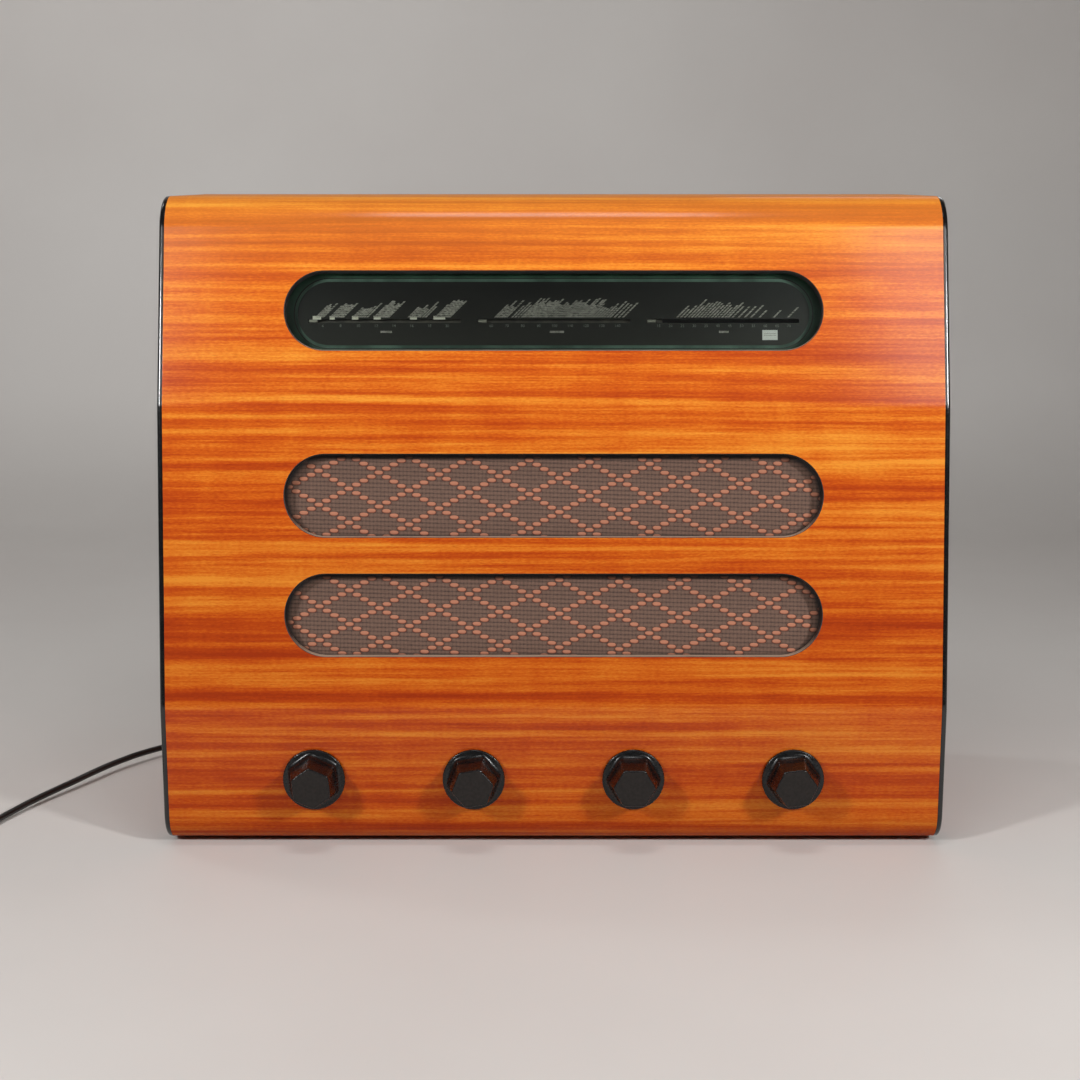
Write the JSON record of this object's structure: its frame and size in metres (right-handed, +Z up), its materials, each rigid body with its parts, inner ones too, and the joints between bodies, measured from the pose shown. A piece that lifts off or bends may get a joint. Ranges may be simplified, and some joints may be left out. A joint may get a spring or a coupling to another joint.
{
  "type": "tube radio",
  "caption": "Wooden table radio with a dial slot, cloth-backed speaker slots, turning knobs below, a tuning drive inside and a coiled mains lead.",
  "frame": {"origin": "on the table, under the middle of the radio with its knobs and without its lead", "axes": "+Z up, +X to the right as seen from the front, the front faces -Y"},
  "size_m": [0.8236, 0.3599, 0.478],
  "materials": {
    "veneer": "french polished ribbon veneer, gloss",
    "black_lacquer": "glossy black lacquered bead",
    "plywood": "bare plywood and deal, matt",
    "felt": "dark felt",
    "hardboard": "pressed hardboard, matt",
    "brass": "turned brass, dulled",
    "grille_cloth": "woven grille cloth with copper-coloured diamonds",
    "plated_steel": "zinc plated steel",
    "cone_paper": "pressed paper cone",
    "cast_magnet": "cast magnet, painted",
    "laminated_core": "stack of varnished laminations",
    "dial_glass": "clear polished glass",
    "dial_black": "black painted scale plate",
    "pointer_cream": "cream painted sheet",
    "drive_cord": "waxed drive cord",
    "clear_glass": "blown glass",
    "winding_paper": "varnished paper and cloth over a winding",
    "aluminium_can": "satin aluminium",
    "laminate": "brown laminate board",
    "black_moulding": "black moulding powder",
    "knob_moulding": "black-brown moulding, polished skirt and grip, satin face",
    "black_rubber": "black rubber",
    "flex": "black smooth flex",
    "tie_strap": "dark strap"
  },
  "bodies": {
    "cabinet": {"front_wrap": "veneer", "side_left": "veneer", "side_right": "veneer", "edge_bead_left": "black_lacquer", "edge_bead_right": "black_lacquer", "base_board": "plywood", "feet": "felt", "cabinet_battens": "plywood", "back_cover": "hardboard", "wood_screws": "brass", "baffle_board": "plywood", "grille_cloth": "grille_cloth", "speaker_frame": "plated_steel", "speaker_cone": "cone_paper", "speaker_magnet": "cast_magnet", "speaker_bolts": "plated_steel", "output_transformer": "laminated_core", "dial_glass": "dial_glass", "dial_scale": "dial_black", "dial_bracket": "plated_steel", "pointer_rails": "plated_steel", "drive_cord": "drive_cord", "dial_lamps": "clear_glass", "lamp_holders": "brass", "chassis": "plated_steel", "chassis_bolts": "plated_steel", "transformer_core": "laminated_core", "transformer_windings": "winding_paper", "smoothing_capacitor": "aluminium_can", "coil_cans": "aluminium_can", "valve_sockets": "laminate", "valve_bases": "black_moulding", "valve_bulbs": "clear_glass", "gang_frame": "plated_steel", "gang_stator": "aluminium_can", "potentiometers": "laminate", "waveband_switch": "laminate", "tuning_bearing": "brass", "terminal_panel": "laminate", "strain_relief": "black_rubber", "mains_cord": "flex", "mains_cord_coil": "flex", "mains_cord_tail": "flex", "cord_tie": "tie_strap", "plug_body": "black_moulding", "plug_pins": "brass"},
    "volume": {"spindle_volume": "plated_steel", "knob_volume": "knob_moulding"},
    "tone": {"spindle_tone": "plated_steel", "knob_tone": "knob_moulding"},
    "waveband": {"spindle_waveband": "plated_steel", "knob_waveband": "knob_moulding"},
    "tuning": {"spindle_tuning": "plated_steel", "knob_tuning": "knob_moulding"},
    "gang": {"gang_rotor": "brass", "drive_drum": "brass"},
    "pointer": {"pointer_carriage": "pointer_cream"},
    "pulley_left": {"pulley_left": "brass"},
    "pulley_upper": {"pulley_upper": "brass"},
    "pulley_lower": {"pulley_lower": "brass"}
  },
  "joints": [
    {"name": "volume_turn", "type": "hinge", "parent": "cabinet", "child": "volume", "pos_m": [-0.1773, -0.1105, 0.054], "axis": [0, 1, 0], "range_deg": [0, 300]},
    {"name": "tone_turn", "type": "hinge", "parent": "cabinet", "child": "tone", "pos_m": [-0.0591, -0.1105, 0.054], "axis": [0, 1, 0], "range_deg": [0, 300]},
    {"name": "waveband_turn", "type": "hinge", "parent": "cabinet", "child": "waveband", "pos_m": [0.0591, -0.1105, 0.054], "axis": [0, 1, 0], "range_deg": [0, 60]},
    {"name": "gang_turn", "type": "hinge", "parent": "cabinet", "child": "gang", "pos_m": [0.21602, -0.1105, 0.12], "axis": [0, 1, 0], "range_deg": [0, 180]},
    {"name": "tuning_turn", "type": "hinge", "parent": "cabinet", "child": "tuning", "pos_m": [0.1773, -0.1105, 0.054], "axis": [0, 1, 0], "range_deg": [0, 1204.21]},
    {"name": "pulley_left_turn", "type": "hinge", "parent": "cabinet", "child": "pulley_left", "pos_m": [-0.195, -0.1105, 0.386], "axis": [0, 1, 0], "range_deg": [0, 753.01]},
    {"name": "pulley_upper_turn", "type": "hinge", "parent": "cabinet", "child": "pulley_upper", "pos_m": [0.24144, -0.1105, 0.386], "axis": [0, 1, 0], "range_deg": [0, 753.01]},
    {"name": "pulley_lower_turn", "type": "hinge", "parent": "cabinet", "child": "pulley_lower", "pos_m": [0.1643, -0.1105, 0.37], "axis": [0, 1, 0], "range_deg": [-753.01, 0]},
    {"name": "pointer_slide", "type": "slide", "parent": "cabinet", "child": "pointer", "axis": [1, 0, 0], "range_m": [0, 0.1052]}
  ],
  "couplings": [
    {"joint": "tuning_turn", "follows": "gang_turn", "ratio": 6.6845},
    {"joint": "pointer_slide", "follows": "gang_turn", "m_per_rad": 0.033423},
    {"joint": "pulley_left_turn", "follows": "gang_turn", "ratio": 4.1778},
    {"joint": "pulley_upper_turn", "follows": "gang_turn", "ratio": 4.1778},
    {"joint": "pulley_lower_turn", "follows": "gang_turn", "ratio": -4.1778}
  ]
}
